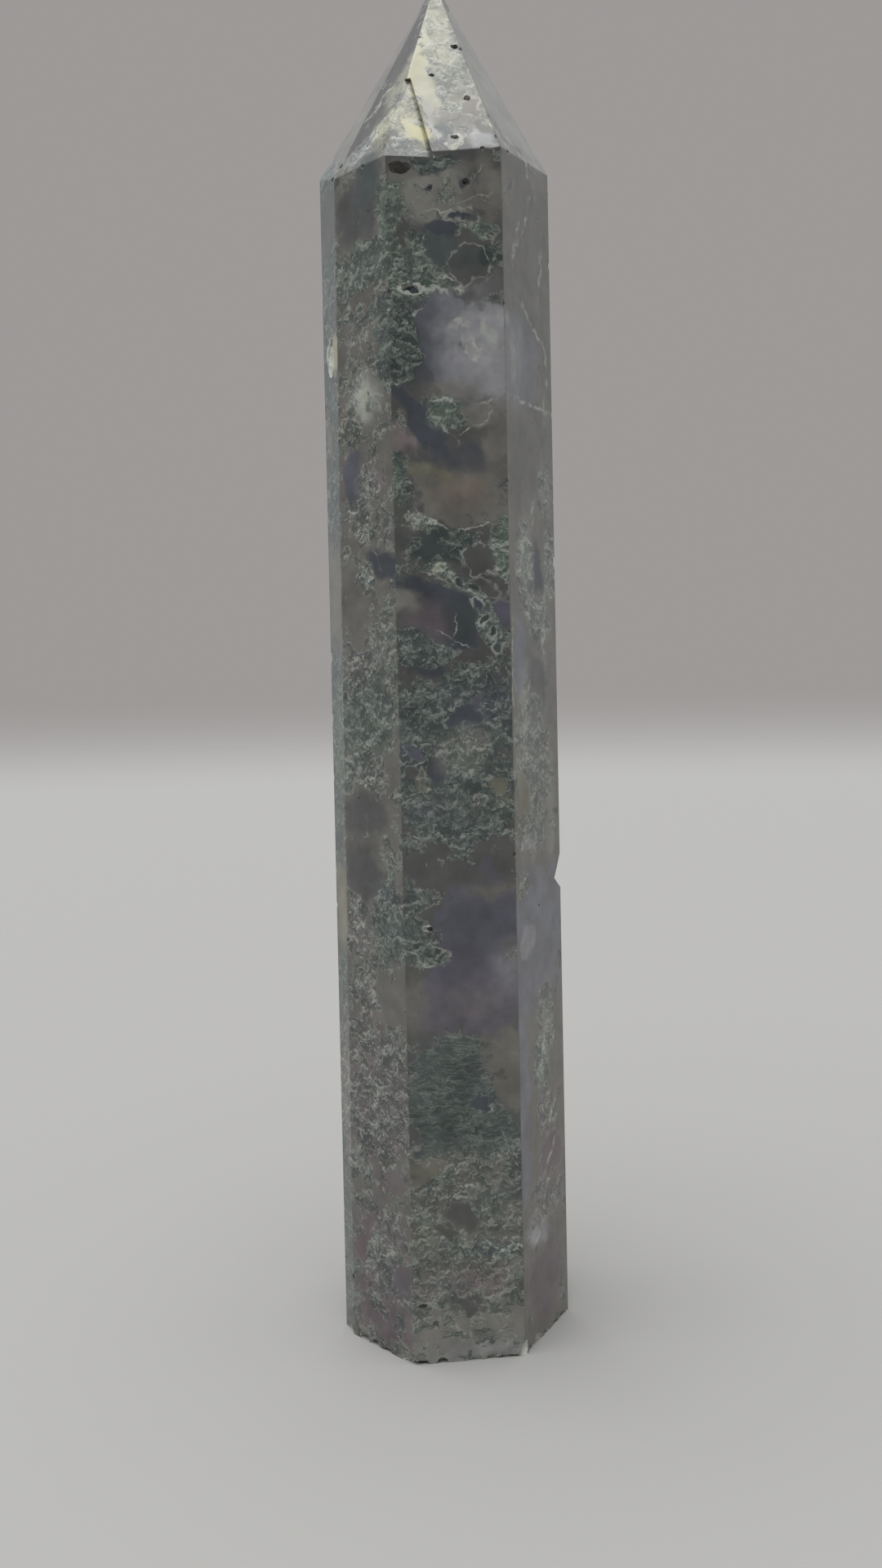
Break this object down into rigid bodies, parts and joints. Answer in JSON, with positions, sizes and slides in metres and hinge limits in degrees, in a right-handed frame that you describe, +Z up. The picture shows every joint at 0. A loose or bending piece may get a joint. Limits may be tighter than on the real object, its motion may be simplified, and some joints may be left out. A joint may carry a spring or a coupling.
{
  "type": "moss agate tower",
  "caption": "Polished column of translucent grey-green moss agate with a faceted pointed tip, standing on a flat sawn base with a chipped rim.",
  "frame": {"origin": "middle of the footprint on the flat base", "axes": "+Z up the column to the tip, the widest polished front face towards -Y"},
  "size_m": [0.0274, 0.025, 0.1572],
  "materials": {
    "moss_agate": "polished, translucent grey agate with green moss inclusions, milky bands and clear windows"
  },
  "bodies": {
    "root": {"moss_agate_tower": "moss_agate"}
  },
  "joints": []
}
